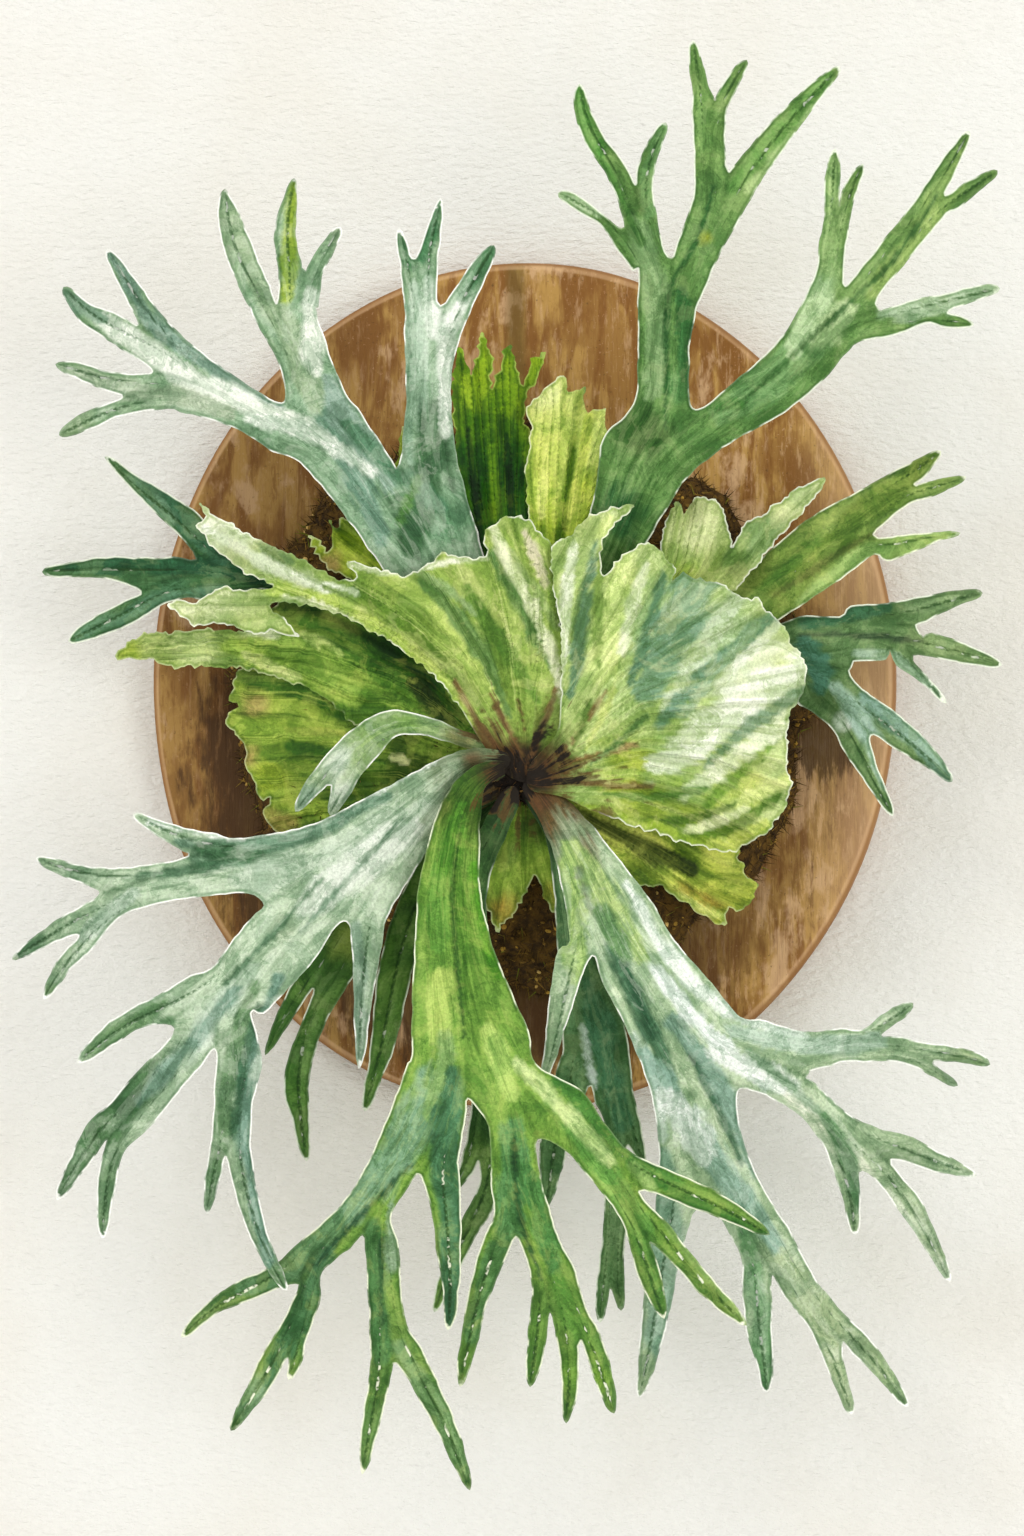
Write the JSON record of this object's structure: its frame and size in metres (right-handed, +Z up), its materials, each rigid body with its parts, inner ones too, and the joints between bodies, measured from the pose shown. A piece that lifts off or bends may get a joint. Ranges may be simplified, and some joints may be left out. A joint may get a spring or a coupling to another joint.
{
  "type": "mounted staghorn fern",
  "caption": "Staghorn fern with pleated shield fronds and forked antler fronds, grown on a moss mound on an oval wooden wall plaque.",
  "frame": {"origin": "middle of the wooden plaque's flat back face, on the wall", "axes": "+X to the viewer's right, +Y into the wall, +Z up; the plant faces -Y"},
  "size_m": [0.4765, 0.1928, 0.6972],
  "materials": {
    "board_wood": "matt, open grain, water-stained round the moss",
    "hanger_steel": "zinc plated",
    "screw_steel": "zinc plated",
    "moss": "damp peat and moss fibres",
    "crown_fur": "brown furry scales",
    "shield_pale": "waxy leaf, pale green to cream, brown at the root",
    "shield_green": "waxy leaf, mid green to yellow-green",
    "shield_dark": "waxy leaf, deep green with lime tips",
    "shield_lime": "waxy leaf, lime",
    "frond_silver": "leathery leaf with a pale felt",
    "frond_green": "leathery leaf, deep green",
    "frond_lime": "leathery leaf, yellow-green"
  },
  "bodies": {
    "root": {"board": "board_wood", "hanger_plate": "hanger_steel", "hanger_screw_1": "screw_steel", "hanger_screw_2": "screw_steel", "moss_mound": "moss", "rhizome_crown": "crown_fur", "shield_right_fan": "shield_pale", "shield_left_sweep": "shield_pale", "shield_left_under": "shield_green", "shield_left_back": "shield_green", "shield_top_dark": "shield_dark", "shield_top_lime": "shield_lime", "shield_jagged": "shield_lime", "shield_upper_right": "shield_pale", "shield_lower_right": "shield_green", "shield_lower_centre": "shield_green", "frond_upper_left": "frond_silver", "frond_upper_right": "frond_green", "frond_mid_left": "frond_green", "frond_right_lime": "frond_lime", "frond_right_teal": "frond_green", "frond_lower_left": "frond_silver", "frond_curled": "frond_silver", "frond_bottom_centre": "frond_lime", "frond_bottom_right": "frond_silver", "under_frond_right": "frond_green", "under_frond_centre": "frond_green", "under_frond_left": "frond_green", "under_frond_slim": "frond_green"}
  },
  "joints": []
}
